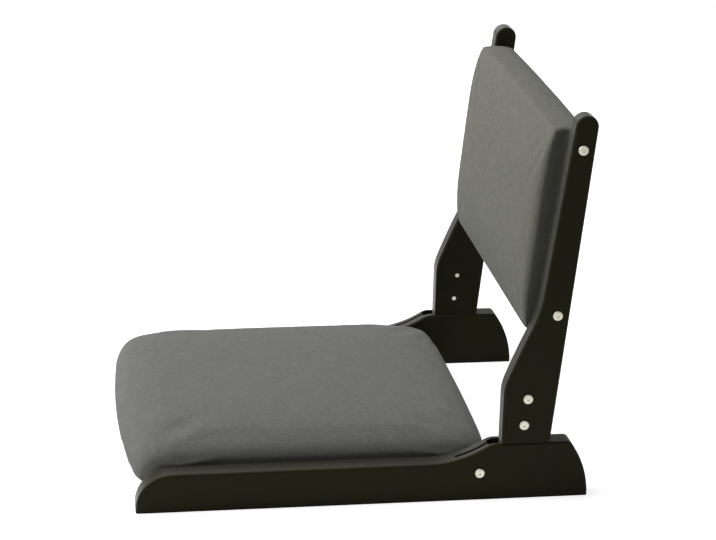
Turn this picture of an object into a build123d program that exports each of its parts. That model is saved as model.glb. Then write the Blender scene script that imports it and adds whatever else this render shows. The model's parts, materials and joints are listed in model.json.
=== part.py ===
"""Folding floor chair: padded seat between two low wooden rails, padded back that folds forward.

Units are millimetres. X runs across the chair (+X is the sitter's left), -Y is the front, +Z is up.
The origin lies on the floor at the centre of the chair's footprint, cushion overhang included.
"""
from build123d import *
from math import atan, cos, degrees, radians, sin, tan
import os

# ------------------------------------------------------------------ base rails
overall_width = 430.0          # across the outer faces of the two rails
rail_length = 494.0
rail_thickness = 25.0
rail_low_height = 43.0         # beside the seat
rail_saddle_height = 64.5      # where the posts stand
rail_nose_radius = 39.0
rail_heel_radius = 105.0
rail_shoulder_radius = 7.0
saddle_length = 103.5          # from the rail's rear end to the top of the ogee
ogee_length = 76.0
ogee_hollow_share = 0.87       # part of the ogee that is its lower, hollow arc
rail_edge_round = 3.0

# ------------------------------------------------------------------ pivot
pivot_setback = 121.4          # ahead of the rail's rear end
pivot_height = 31.6
pivot_bolt_diameter = 6.0
pivot_insert_diameter = 9.0
pivot_insert_length = 11.0
bush_diameter = 9.0
washer_diameter = 18.0
washer_thickness = 0.5
hinge_slot_front = 26.0        # reach of the rail slot ahead of and behind the pivot
hinge_slot_rear = 48.0
hinge_mouth_length = 14.0      # wider opening of the slot, ahead of the post's foot
hinge_mouth_width = 13.0
hinge_mouth_depth = 7.0

# ------------------------------------------------------------------ posts
post_thickness = 22.0
post_front_setback = 98.0      # foot's front edge, ahead of the rail's rear end
post_foot_width = 53.4
post_foot_straight = 54.0      # vertical part of the front edge
post_neck_height = 172.0       # above the saddle, where the straight taper starts
post_neck_width = 31.2
post_front_angle = 7.6         # of the taper, from the vertical
recline_angle = 5.6            # of the back edge, from the vertical
back_height = 430.2            # overall height of the chair
post_edge_round = 3.0

# ------------------------------------------------------------------ hinge plates and bolts
plate_thickness = 3.0
plate_half_width = 8.0
plate_knee_run = 32.5          # knee of the dog-leg, behind the pivot
plate_knee_rise = 24.0         # and above it
hinge_bolt_setback = 32.1      # ahead of the post's back edge
hinge_bolt_height = 21.6       # lower bolt, above the saddle
hinge_bolt_pitch = 30.2
hinge_bolt_diameter = 5.0
hinge_bolt_tip = 0.8           # stands out of the post's inner face
plate_pocket_wall = 4.0        # wood left ahead of the plate in the post
plate_pocket_gap = 1.0         # round the plate's edge in the post's pocket
plate_swing_gap = 1.5          # under the plate in the rail's slot
bolt_head_diameter = 11.0
bolt_head_height = 2.8
bolt_head_round = 1.7
socket_width = 3.0
socket_depth = 1.6

# ------------------------------------------------------------------ seat
seat_overhang = 10.5           # crown of the seat, ahead of the rails
seat_front_bow = 13.0
seat_rear_bow = 4.0
seat_rear_setback = 102.5      # rear of the seat, ahead of the rail's rear end
seat_underside = 18.2
seat_belly_low = 28.2          # widest part of the side starts
seat_belly_high = 32.5         # widest part of the side ends
seat_roll_radius = 33.0
seat_crown_rise = 8.0
seat_crown_run = 125.0         # from the edge to where the crown is level
seat_corner_low = 15.0         # plan corner radius under the belly
seat_corner_high = 36.0        # plan corner radius above the belly
seat_board_thickness = 9.0
seat_board_inset = 12.5
seat_hem_width = 30.0
dust_cover_thickness = 0.6
dust_cover_inset = 16.0

# ------------------------------------------------------------------ cross rails
cross_rail_depth = 40.0
cross_rail_height = 15.0
cross_rail_chamfer = 1.0
cross_rail_inset = 45.0        # centre of each cross rail, in from the seat's corners
dowel_diameter = 6.0
dowel_depth_rail = 12.0
dowel_depth_cross = 22.0
dowel_spacing = 20.0
board_screw_diameter = 4.0
board_screw_bite = 7.0
board_screw_head_diameter = 8.0
board_screw_head_height = 2.4
board_screw_count = 3          # in each cross rail
board_screw_margin = 17.2      # from the cover's hem to the outer screws

# ------------------------------------------------------------------ back pad
pad_height = 225.5             # along the post's back edge
pad_top_drop = 22.5            # pad's upper edge, below the post's top
pad_rear = 3.0                 # ahead of the post's back edge
pad_rear_round = 2.0
pad_belly = 38.0               # depth where the front edge starts to turn
pad_roll_radius = 4.0
pad_crown_rise = 10.0
pad_crown_run = 70.0           # from the edge to where the crown is level
pad_corner_frame = 5.0         # plan corner radius round the frame
pad_corner_radius = 9.0        # plan corner radius at the front
pad_bolt_depth = 13.5          # ahead of the post's back edge
pad_bolt_low = 26.5            # above the pad's lower edge
pad_bolt_high = 15.5           # below the pad's upper edge
pad_bolt_diameter = 5.0
pad_bolt_bite = 12.0           # reach into the stile
pad_insert_diameter = 8.0
pad_insert_length = 13.0
stile_width = 30.0
stile_depth = 16.0
crosspiece_width = 22.0
frame_end_inset = 5.0
frame_dowel_length = 30.0
back_board_thickness = 5.0
back_board_inset = 5.0
back_screw_diameter = 3.5
back_screw_bite = 9.0
back_screw_head_diameter = 7.0
back_screw_head_height = 2.0
back_screw_count = 3           # in each stile
back_screw_inset = 18.0        # from the stile's outer face
back_hem_width = 24.0
rear_cover_thickness = 0.6
rear_cover_inset = 5.0

# ------------------------------------------------------------------ fits
cover_thickness = 1.2
soft_gap = 0.3                 # between a soft piece and its neighbour
fit = 0.05                     # radial clearance of bolts, bushes and dowels
rest_gap = 0.2                 # between a post's foot and the saddle
end_gap = 0.5                  # at the blind end of a hole

# ------------------------------------------------------------------ derived places
frame_shift = seat_overhang / 2
rail_front_y = -rail_length / 2 + frame_shift
rail_rear_y = rail_length / 2 + frame_shift
rail_outer_x = overall_width / 2
rail_inner_x = rail_outer_x - rail_thickness
post_inner_x = rail_outer_x - post_thickness
hinge_x = rail_outer_x - post_thickness / 2
pivot_y = rail_rear_y - pivot_setback

foot_z = rail_saddle_height
foot_front_y = rail_rear_y - post_front_setback
foot_back_y = foot_front_y + post_foot_width
recline = radians(recline_angle)
post_top_u = (back_height - foot_z) / cos(recline)
pad_bottom = post_top_u - pad_top_drop - pad_height

slot_width = plate_thickness + 2 * washer_thickness + 4 * fit
slot_floor_z = pivot_height - plate_half_width - plate_swing_gap

seat_front_y = rail_front_y - seat_overhang
seat_rear_y = rail_rear_y - seat_rear_setback
seat_half_width = rail_inner_x - soft_gap
pad_half_width = post_inner_x - soft_gap
board_bottom_z = seat_underside + cover_thickness
cross_rail_top_z = seat_underside - dust_cover_thickness

# The back's own plane: X across, Y up the post's back edge, Z forward out of it.
back_plane = Plane(
    origin=(0, foot_back_y, foot_z),
    x_dir=(1, 0, 0),
    z_dir=(0, -cos(recline), sin(recline)),
)

SIDES = {"left": 1, "right": -1}


# ------------------------------------------------------------------ helpers
def back_edge_y(z):
    """Y of the post's straight back edge at height z."""
    return foot_back_y + (z - foot_z) * tan(recline)


def front_edge_y(z):
    """Y of the post's straight front taper at height z."""
    neck_z = foot_z + post_neck_height
    neck_y = back_edge_y(neck_z) - post_neck_width
    return neck_y + (z - neck_z) * tan(radians(post_front_angle))


def bar(x0, x1, y, z, diameter):
    """Round bar along X between x0 and x1, on the line through y, z."""
    length = abs(x1 - x0)
    middle = Location(((x0 + x1) / 2, y, z), (0, 90, 0))
    return middle * Cylinder(diameter / 2, length)


def plate_yz(face, x0, x1):
    """Extrude a face drawn on the YZ plane from x0 to x1."""
    return Pos(min(x0, x1), 0, 0) * extrude(face, abs(x1 - x0), dir=(1, 0, 0))


def block(x0, x1, y0, y1, z0, z1):
    """Box between opposite corners."""
    size = (abs(x1 - x0), abs(y1 - y0), abs(z1 - z0))
    return Pos((x0 + x1) / 2, (y0 + y1) / 2, (z0 + z1) / 2) * Box(*size)


def screw(diameter, length, head_diameter, head_height):
    """Countersunk screw along Z, its flat head at z = 0 and its shank pointing up."""
    shank = Pos(0, 0, length / 2) * Cylinder(diameter / 2, length)
    head = Pos(0, 0, head_height / 2) * Cone(head_diameter / 2, diameter / 2, head_height)
    return shank + head


def button_bolt(side, y, z, diameter, tip_x):
    """Button-head bolt with a hexagon socket, its head on the outer face and its end at tip_x."""
    head = Cylinder(bolt_head_diameter / 2, bolt_head_height)
    head = fillet(head.edges().sort_by(Axis.Z)[-1], bolt_head_round)
    socket = extrude(RegularPolygon(socket_width / 2, 6, major_radius=False), socket_depth)
    head -= Pos(0, 0, bolt_head_height / 2 - socket_depth) * socket
    head_x = side * (rail_outer_x + bolt_head_height / 2)
    placed = Location((head_x, y, z), (0, 90 * side, 0)) * head
    return placed + bar(side * rail_outer_x, side * tip_x, y, z, diameter)


def save(node, *solids):
    """Write one sub-part as a STEP file."""
    shape = solids[0] if len(solids) == 1 else Compound(children=list(solids))
    export_step(shape, f"parts/{node}.step")


# ------------------------------------------------------------------ cushions
def pillow_levels(base, low_radius, belly, roll_radius, rise, run, skin):
    """Heights and edge insets of a cushion from its underside to its crown.

    The edge rolls out over low_radius, stays at its widest up to belly, rolls in over roll_radius,
    and the top then rises by a parabola until it is level, run away from the edge.
    skin moves the whole form inwards.
    """
    low = low_radius - skin
    roll = roll_radius - skin
    levels = []
    for turn in (0, 25, 45, 65, 90):
        angle = radians(turn)
        levels.append((base + skin + low * (1 - cos(angle)), skin + low * (1 - sin(angle))))
    for turn in (0, 16, 32, 46, 58, 68, 76, 82):
        angle = radians(turn)
        levels.append((belly + roll * sin(angle), skin + roll * (1 - cos(angle))))
    shoulder_height, shoulder_inset = levels[-1]
    for share in (0.12, 0.28, 0.45, 0.65, 0.85, 1.0):
        inset = shoulder_inset + share * (run - shoulder_inset)
        height = shoulder_height + rise * (1 - (1 - share) ** 2)
        levels.append((height, inset))
    return levels


def seat_outline(inset, corner):
    """Seat plan at one level: straight sides, bowed front and rear, rounded corners."""
    half = seat_half_width - inset
    spread = (half / seat_half_width) ** 2
    front = seat_front_y + inset
    rear = seat_rear_y - inset
    side_front = front + seat_front_bow * spread
    side_rear = rear - seat_rear_bow * spread
    plan = make_face([
        Line((-half, side_front), (-half, side_rear)),
        ThreePointArc((-half, side_rear), (0, rear), (half, side_rear)),
        Line((half, side_rear), (half, side_front)),
        ThreePointArc((half, side_front), (0, front), (-half, side_front)),
    ])
    return fillet(plan.vertices(), min(corner, 0.5 * half, 0.25 * (side_rear - side_front)))


def seat_form(skin):
    """Crowned seat cushion, its sides drawn in below and above the belly."""
    levels = pillow_levels(
        seat_underside, seat_belly_low - seat_underside, seat_belly_high, seat_roll_radius,
        seat_crown_rise, seat_crown_run, skin,
    )
    span = seat_roll_radius / 2
    sections = []
    for height, inset in levels:
        share = min(max((height - seat_belly_low) / span, 0), 1)
        corner = seat_corner_low + share * (seat_corner_high - seat_corner_low)
        sections.append(Pos(0, 0, height) * seat_outline(inset, corner))
    return loft(sections, ruled=True)


def pad_form(skin):
    """Crowned back cushion in the back's own plane."""
    levels = pillow_levels(
        pad_rear, pad_rear_round, pad_belly, pad_roll_radius,
        pad_crown_rise, pad_crown_run, skin,
    )
    middle = pad_bottom + pad_height / 2
    span = pad_roll_radius / 2
    sections = []
    for depth, inset in levels:
        wide = 2 * (pad_half_width - inset)
        tall = pad_height - 2 * inset
        share = min(max((depth - pad_belly) / span, 0), 1)
        corner = pad_corner_frame + share * (pad_corner_radius - pad_corner_frame)
        corner = min(corner, 0.4 * tall)
        sections.append(Pos(0, middle, depth) * RectangleRounded(wide, tall, corner))
    return loft(sections, ruled=True)


# ------------------------------------------------------------------ base
def rail_profile():
    """Side view of a rail: round nose, low top, ogee, saddle and round heel."""
    low_end = rail_rear_y - saddle_length - ogee_length
    ogee_end = rail_rear_y - saddle_length
    ogee_turn = (
        low_end + ogee_hollow_share * ogee_length,
        rail_low_height + ogee_hollow_share * (rail_saddle_height - rail_low_height),
    )
    nose_top = (rail_front_y + rail_nose_radius, rail_low_height)
    nose_foot = (rail_front_y, rail_low_height - rail_nose_radius)
    heel_centre = rail_rear_y - rail_heel_radius
    heel_y = heel_centre + (rail_heel_radius**2 - rail_saddle_height**2) ** 0.5
    heel_mid = (heel_centre + rail_heel_radius * cos(radians(20)), rail_heel_radius * sin(radians(20)))
    profile = make_face([
        Line((rail_rear_y, 0), (rail_front_y, 0)),
        Line((rail_front_y, 0), nose_foot),
        TangentArc(nose_foot, nose_top, tangent=(0, 1)),
        Line(nose_top, (low_end, rail_low_height)),
        TangentArc((low_end, rail_low_height), ogee_turn, tangent=(1, 0)),
        TangentArc((ogee_end, rail_saddle_height), ogee_turn, tangent=(-1, 0)),
        Line((ogee_end, rail_saddle_height), (heel_y, rail_saddle_height)),
        ThreePointArc((heel_y, rail_saddle_height), heel_mid, (rail_rear_y, 0)),
    ])
    shoulder = profile.vertices().sort_by_distance((heel_y, rail_saddle_height))[0]
    return Plane.YZ * fillet(shoulder, rail_shoulder_radius)


def base_rail(side):
    """One rail with its hinge slot, its pivot holes and its dowel holes."""
    rail = plate_yz(rail_profile(), side * rail_inner_x, side * rail_outer_x)
    top_edges = rail.edges().filter_by(lambda e: e.center().Z > 1 and abs(e.bounding_box().size.X) < 0.01)
    rail = fillet(top_edges, rail_edge_round)
    slot_x0 = side * (hinge_x - slot_width / 2)
    slot_x1 = side * (hinge_x + slot_width / 2)
    slot_y0 = pivot_y - hinge_slot_front
    slot_y1 = pivot_y + hinge_slot_rear
    rail -= block(slot_x0, slot_x1, slot_y0, slot_y1, slot_floor_z, rail_saddle_height + 1)
    mouth_x0 = side * (hinge_x - hinge_mouth_width / 2)
    mouth_x1 = side * (hinge_x + hinge_mouth_width / 2)
    mouth_z = rail_saddle_height - hinge_mouth_depth
    rail -= block(
        mouth_x0, mouth_x1, foot_front_y - hinge_mouth_length, foot_front_y, mouth_z, rail_saddle_height + 1
    )
    rail -= bar(slot_x0, side * rail_outer_x, pivot_y, pivot_height, pivot_bolt_diameter + 2 * fit)
    insert_hole = pivot_insert_diameter + 2 * fit
    rail -= bar(side * rail_inner_x, slot_x0, pivot_y, pivot_height, insert_hole)
    for y, z in dowel_places():
        deep = side * (rail_inner_x + dowel_depth_rail)
        rail -= bar(side * rail_inner_x, deep, y, z, dowel_diameter + 2 * fit)
    return rail


def cross_rail_ys():
    """Y of the front and the rear cross rail."""
    return {
        "front": seat_front_y + seat_front_bow + cross_rail_inset,
        "rear": seat_rear_y - seat_rear_bow - cross_rail_inset,
    }


def dowel_places():
    """Y, Z of every dowel at one side of the base."""
    z = cross_rail_top_z - cross_rail_height / 2
    places = []
    for y in cross_rail_ys().values():
        places.append((y - dowel_spacing / 2, z))
        places.append((y + dowel_spacing / 2, z))
    return places


def board_screw_xs():
    """X of the screws in a cross rail, all inside the cover's hem."""
    outer = seat_half_width - seat_board_inset - seat_hem_width - board_screw_margin
    pitch = 2 * outer / (board_screw_count - 1)
    return [-outer + index * pitch for index in range(board_screw_count)]


def board_screw(extra=0.0):
    """Screw that goes up through a cross rail into the seat board; extra widens it into a hole."""
    length = cross_rail_height + dust_cover_thickness + cover_thickness + board_screw_bite
    return screw(
        board_screw_diameter + extra, length + extra,
        board_screw_head_diameter + extra, board_screw_head_height,
    )


def board_screws(extra=0.0):
    """All seat board screws, as a list of solids."""
    bottom_z = cross_rail_top_z - cross_rail_height
    return [
        Pos(x, y, bottom_z) * board_screw(extra)
        for y in cross_rail_ys().values()
        for x in board_screw_xs()
    ]


def cross_rail(y):
    """Wooden rail under the seat board, between the two side rails."""
    bottom_z = cross_rail_top_z - cross_rail_height
    half = cross_rail_depth / 2
    rail = block(-rail_inner_x, rail_inner_x, y - half, y + half, bottom_z, cross_rail_top_z)
    rail = chamfer(rail.edges().filter_by(Axis.X), cross_rail_chamfer)
    for side in SIDES.values():
        for hole_y in (y - dowel_spacing / 2, y + dowel_spacing / 2):
            deep = side * (rail_inner_x - dowel_depth_cross)
            middle_z = cross_rail_top_z - cross_rail_height / 2
            rail -= bar(side * rail_inner_x, deep, hole_y, middle_z, dowel_diameter + 2 * fit)
    for hole in board_screws(2 * fit):
        rail -= hole
    return rail


def dowels():
    """Dowels between the cross rails and the side rails."""
    pieces = []
    for side in SIDES.values():
        for y, z in dowel_places():
            inner = side * (rail_inner_x - dowel_depth_cross + end_gap)
            outer = side * (rail_inner_x + dowel_depth_rail - end_gap)
            pieces.append(bar(inner, outer, y, z, dowel_diameter))
    return pieces


def seat_board():
    """Plywood board inside the seat."""
    plan = seat_outline(seat_board_inset, seat_corner_low)
    board = Pos(0, 0, board_bottom_z) * extrude(plan, seat_board_thickness)
    for hole in board_screws(2 * fit):
        board -= hole
    return board


def seat_foam():
    """Foam block on the board, with a skirt round the board's edge."""
    room = Pos(0, 0, board_bottom_z) * extrude(
        seat_outline(seat_board_inset, seat_corner_low), seat_board_thickness
    )
    return seat_form(cover_thickness + soft_gap) - room


def seat_cover():
    """Fabric cover, open under the board inside its hem."""
    opening = seat_outline(seat_board_inset + seat_hem_width, seat_corner_low)
    opening = Pos(0, 0, seat_underside - 1) * extrude(opening, cover_thickness + 2)
    return seat_form(0) - seat_form(cover_thickness) - opening


def seat_dust_cover():
    """Thin cloth that closes the underside."""
    plan = seat_outline(dust_cover_inset, seat_corner_low)
    sheet = Pos(0, 0, cross_rail_top_z) * extrude(plan, dust_cover_thickness)
    for hole in board_screws(2 * fit):
        sheet -= hole
    return sheet


def pivot_bush(side):
    """Plain bush round the pivot bolt, as long as the slot is wide."""
    half = slot_width / 2 - fit
    x0 = side * (hinge_x - half)
    x1 = side * (hinge_x + half)
    bore = pivot_bolt_diameter + 2 * fit
    return bar(x0, x1, pivot_y, pivot_height, bush_diameter) - bar(x0, x1, pivot_y, pivot_height, bore)


def pivot_washers(side):
    """Two washers, one at each face of the hinge plate."""
    rings = []
    for face in (-1, 1):
        near = plate_thickness / 2 + fit
        x0 = side * hinge_x + face * near
        x1 = x0 + face * washer_thickness
        ring = bar(x0, x1, pivot_y, pivot_height, washer_diameter)
        ring -= bar(x0, x1, pivot_y, pivot_height, bush_diameter + 2 * fit)
        rings.append(ring)
    return rings


def pivot_insert(side):
    """Threaded insert in the rail's inner wall, which takes the pivot bolt."""
    x0 = side * (rail_inner_x + end_gap)
    x1 = side * (rail_inner_x + end_gap + pivot_insert_length)
    sleeve = bar(x0, x1, pivot_y, pivot_height, pivot_insert_diameter)
    return sleeve - bar(x0, x1, pivot_y, pivot_height, pivot_bolt_diameter + 2 * fit)


# ------------------------------------------------------------------ backrest
def hinge_bolt_places():
    """Y, Z of the lower and the upper hinge bolt."""
    places = []
    for rise in (hinge_bolt_height, hinge_bolt_height + hinge_bolt_pitch):
        z = foot_z + rise
        places.append((back_edge_y(z) - hinge_bolt_setback, z))
    return places


def strip(start, end, half_width):
    """Flat strip with round ends between two points of the YZ plane."""
    dy = end[0] - start[0]
    dz = end[1] - start[1]
    length = (dy**2 + dz**2) ** 0.5
    middle = Pos((start[0] + end[0]) / 2, (start[1] + end[1]) / 2)
    slot = middle * Rot(0, 0, degrees(atan(dz / dy))) * SlotCenterToCenter(length, 2 * half_width)
    return Plane.YZ * slot


def hinge_plate_outline(half_width):
    """Dog-leg outline: from the pivot back to the knee, then up to the two bolts."""
    low, high = hinge_bolt_places()
    knee = (pivot_y + plate_knee_run, pivot_height + plate_knee_rise)
    outline = strip((pivot_y, pivot_height), knee, half_width)
    return outline + strip(knee, low, half_width) + strip(low, high, half_width)


def hinge_plate(side):
    """Steel plate that carries a post on its pivot."""
    x0 = side * (hinge_x - plate_thickness / 2)
    x1 = side * (hinge_x + plate_thickness / 2)
    plate = plate_yz(hinge_plate_outline(plate_half_width), x0, x1)
    plate -= bar(x0, x1, pivot_y, pivot_height, bush_diameter + 2 * fit)
    for y, z in hinge_bolt_places():
        plate -= bar(x0, x1, y, z, hinge_bolt_diameter + 2 * fit)
    return plate


def post_profile():
    """Side view of a post: wide foot, curved neck, straight taper and full round top."""
    bottom_z = foot_z + rest_gap
    straight_z = foot_z + post_foot_straight
    neck_z = foot_z + post_neck_height
    front = radians(post_front_angle)
    # The top circle touches both edges and ends at the overall height.
    spread = 1 / cos(front) + 1 / cos(recline)
    width_at_top = back_edge_y(back_height) - front_edge_y(back_height)
    closing = tan(front) - tan(recline)
    radius = width_at_top / (spread - closing)
    centre_z = back_height - radius
    centre_y = front_edge_y(centre_z) + radius / cos(front)
    front_end = (centre_y - radius * cos(front), centre_z + radius * sin(front))
    back_end = (centre_y + radius * cos(recline), centre_z - radius * sin(recline))
    curve_rise = neck_z - straight_z
    curve_run = front_edge_y(neck_z) - foot_front_y
    neck = Spline(
        (foot_front_y, straight_z),
        (foot_front_y + 0.17 * curve_run, straight_z + 0.23 * curve_rise),
        (foot_front_y + 0.53 * curve_run, straight_z + 0.52 * curve_rise),
        (front_edge_y(neck_z), neck_z),
        tangents=((0, 1), (sin(front), cos(front))),
    )
    return Plane.YZ * make_face([
        Line((back_edge_y(bottom_z), bottom_z), (foot_front_y, bottom_z)),
        Line((foot_front_y, bottom_z), (foot_front_y, straight_z)),
        neck,
        Line((front_edge_y(neck_z), neck_z), front_end),
        ThreePointArc(front_end, (centre_y, back_height), back_end),
        Line(back_end, (back_edge_y(bottom_z), bottom_z)),
    ])


def post(side):
    """One post with its plate pocket and its bolt holes."""
    body = plate_yz(post_profile(), side * post_inner_x, side * rail_outer_x)
    long_edges = body.edges().filter_by(
        lambda e: e.center().Z > foot_z + 1 and abs(e.bounding_box().size.X) < 0.01
    )
    body = fillet(long_edges, post_edge_round)
    low, high = hinge_bolt_places()
    half = plate_thickness / 2 + fit
    x0 = side * (hinge_x - half)
    x1 = side * (hinge_x + half)
    pocket_end = high[0] + plate_half_width + plate_pocket_gap
    pocket_top = high[1] + plate_half_width + plate_pocket_gap
    body -= block(x0, x1, foot_front_y + plate_pocket_wall, pocket_end, foot_z - 1, pocket_top)
    body -= plate_yz(hinge_plate_outline(plate_half_width + plate_pocket_gap / 2), x0, x1)
    for y, z in (low, high):
        body -= bar(side * post_inner_x, side * rail_outer_x, y, z, hinge_bolt_diameter + 2 * fit)
    for y, z in pad_bolt_places():
        body -= bar(side * post_inner_x, side * rail_outer_x, y, z, pad_bolt_diameter + 2 * fit)
    return body


def pad_bolt_us():
    """Places of the two pad bolts up the post's back edge."""
    return (pad_bottom + pad_bolt_low, pad_bottom + pad_height - pad_bolt_high)


def pad_bolt_places():
    """Y, Z of the lower and the upper pad bolt."""
    places = []
    for u in pad_bolt_us():
        point = back_plane.from_local_coords((0, u, pad_bolt_depth))
        places.append((point.Y, point.Z))
    return places


def frame_rear():
    """Depth of the pad frame's rear face."""
    return pad_rear + cover_thickness


def stile_outer_x():
    """X of a stile's outer face, inside the cover."""
    return pad_half_width - cover_thickness - soft_gap


def back_stile(side):
    """Upright of the pad frame, which takes the post bolts."""
    outer = side * stile_outer_x()
    inner = side * (stile_outer_x() - stile_width)
    low = pad_bottom + frame_end_inset
    high = pad_bottom + pad_height - frame_end_inset
    stile = block(outer, inner, low, high, frame_rear(), frame_rear() + stile_depth)
    outer_rear = stile.edges().filter_by(Axis.Y).sort_by_distance((outer, (low + high) / 2, frame_rear()))
    stile = fillet(outer_rear[0], pad_rear_round)
    stile = back_plane * stile
    for y, z in pad_bolt_places():
        deep = side * (stile_outer_x() - pad_insert_length)
        stile -= bar(outer, deep, y, z, pad_insert_diameter + 2 * fit)
    for hole in frame_dowels(2 * fit) + back_screws(2 * fit):
        stile -= hole
    return stile


def crosspiece_us():
    """Places of the bottom and the top crosspiece's middle."""
    inset = frame_end_inset + crosspiece_width / 2
    return {"bottom": pad_bottom + inset, "top": pad_bottom + pad_height - inset}


def back_crosspiece(u):
    """Crosspiece of the pad frame between the stiles."""
    half = stile_outer_x() - stile_width
    low = u - crosspiece_width / 2
    high = u + crosspiece_width / 2
    piece = back_plane * block(-half, half, low, high, frame_rear(), frame_rear() + stile_depth)
    for hole in frame_dowels(2 * fit):
        piece -= hole
    return piece


def frame_dowels(extra=0.0):
    """Dowels at the four corners of the pad frame; extra widens them into holes."""
    joint_x = stile_outer_x() - stile_width
    half = frame_dowel_length / 2 + extra
    depth = frame_rear() + stile_depth / 2
    pieces = []
    for side in SIDES.values():
        for u in crosspiece_us().values():
            pin = bar(side * (joint_x - half), side * (joint_x + half), u, depth, dowel_diameter + extra)
            pieces.append(back_plane * pin)
    return pieces


def back_board():
    """Thin board on the front of the pad frame."""
    wide = 2 * (stile_outer_x() - back_board_inset)
    tall = pad_height - 2 * (frame_end_inset + back_board_inset)
    plan = RectangleRounded(wide, tall, pad_corner_radius / 2)
    board = Pos(0, pad_bottom + pad_height / 2, frame_rear() + stile_depth) * extrude(
        plan, back_board_thickness
    )
    board = back_plane * board
    for hole in back_screws(2 * fit):
        board -= hole
    return board


def back_screws(extra=0.0):
    """Screws through the back board into the stiles; extra widens them into holes."""
    face = frame_rear() + stile_depth + back_board_thickness
    length = back_board_thickness + back_screw_bite
    first = pad_bottom + pad_height / 4
    pitch = pad_height / 2 / (back_screw_count - 1)
    pieces = []
    for side in SIDES.values():
        x = side * (stile_outer_x() - back_screw_inset)
        for index in range(back_screw_count):
            one = screw(
                back_screw_diameter + extra, length + extra,
                back_screw_head_diameter + extra, back_screw_head_height,
            )
            turned = Location((x, first + index * pitch, face), (180, 0, 0)) * one
            pieces.append(back_plane * turned)
    return pieces


def back_foam():
    """Foam on the front of the back board."""
    form = pad_form(cover_thickness + soft_gap)
    front_of_board = frame_rear() + stile_depth + back_board_thickness
    keep = block(
        -pad_half_width, pad_half_width, pad_bottom, pad_bottom + pad_height,
        front_of_board, pad_belly + pad_roll_radius + pad_crown_rise,
    )
    return back_plane * (form & keep)


def back_cover():
    """Fabric cover over the foam and round the frame, open at the rear inside its hem."""
    wide = 2 * (pad_half_width - back_hem_width)
    tall = pad_height - 2 * back_hem_width
    opening = Pos(0, pad_bottom + pad_height / 2, pad_rear - 1) * extrude(
        RectangleRounded(wide, tall, pad_corner_radius / 2), cover_thickness + 2
    )
    cover = back_plane * (pad_form(0) - pad_form(cover_thickness) - opening)
    for y, z in pad_bolt_places():
        cover -= bar(-post_inner_x, post_inner_x, y, z, pad_bolt_diameter + 2 * soft_gap)
    return cover


def back_rear_cover():
    """Cloth panel over the hem at the rear."""
    wide = 2 * (pad_half_width - rear_cover_inset)
    tall = pad_height - 2 * rear_cover_inset
    panel = Pos(0, pad_bottom + pad_height / 2, pad_rear - rear_cover_thickness) * extrude(
        RectangleRounded(wide, tall, pad_corner_frame), rear_cover_thickness
    )
    return back_plane * panel


def pad_insert(side, y, z):
    """Threaded insert in a stile."""
    x0 = side * stile_outer_x()
    x1 = side * (stile_outer_x() - pad_insert_length + end_gap)
    return bar(x0, x1, y, z, pad_insert_diameter) - bar(x0, x1, y, z, pad_bolt_diameter + 2 * fit)


# ------------------------------------------------------------------ write the pieces
def write_base():
    """Write every piece of the base."""
    for name, y in cross_rail_ys().items():
        save(f"{name}_cross_rail", cross_rail(y))
    save("cross_rail_dowels", *dowels())
    save("seat_board", seat_board())
    save("seat_board_screws", *board_screws())
    save("seat_foam", seat_foam())
    save("seat_cover", seat_cover())
    save("seat_dust_cover", seat_dust_cover())
    for name, side in SIDES.items():
        save(f"base_rail_{name}", base_rail(side))
        pivot_tip = rail_inner_x + 2 * end_gap
        save(f"pivot_bolt_{name}", button_bolt(side, pivot_y, pivot_height, pivot_bolt_diameter, pivot_tip))
        save(f"pivot_bush_{name}", pivot_bush(side))
        save(f"pivot_washers_{name}", *pivot_washers(side))
        save(f"pivot_insert_{name}", pivot_insert(side))


def write_backrest():
    """Write every piece of the backrest."""
    for name, u in crosspiece_us().items():
        save(f"back_crosspiece_{name}", back_crosspiece(u))
    save("back_frame_dowels", *frame_dowels())
    save("back_board", back_board())
    save("back_board_screws", *back_screws())
    save("back_foam", back_foam())
    save("back_cover", back_cover())
    save("back_rear_cover", back_rear_cover())
    for name, side in SIDES.items():
        save(f"post_{name}", post(side))
        save(f"back_stile_{name}", back_stile(side))
        save(f"hinge_plate_{name}", hinge_plate(side))
        tip = post_inner_x - hinge_bolt_tip
        bolts = [button_bolt(side, y, z, hinge_bolt_diameter, tip) for y, z in hinge_bolt_places()]
        save(f"hinge_bolts_{name}", *bolts)
        tip = stile_outer_x() - pad_bolt_bite
        bolts = [button_bolt(side, y, z, pad_bolt_diameter, tip) for y, z in pad_bolt_places()]
        save(f"back_bolts_{name}", *bolts)
        inserts = [pad_insert(side, y, z) for y, z in pad_bolt_places()]
        save(f"back_inserts_{name}", *inserts)


os.makedirs("parts", exist_ok=True)
write_base()
write_backrest()
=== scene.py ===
"""Folding floor chair, dressed and lit.

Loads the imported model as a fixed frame, gives every rigid piece its finish, makes the upholstery that
stands for the soft solids, and sets the studio and the camera. Units are metres. +X is the sitter's left,
-Y the front of the seat and +Z up.
"""

import json
import logging
from dataclasses import dataclass, field
from enum import Enum
from functools import reduce
from itertools import product
from math import cos, exp, pi, radians, sin
from typing import Callable, Iterator, Sequence

import bpy
from mathutils import Matrix, Vector, noise

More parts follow.
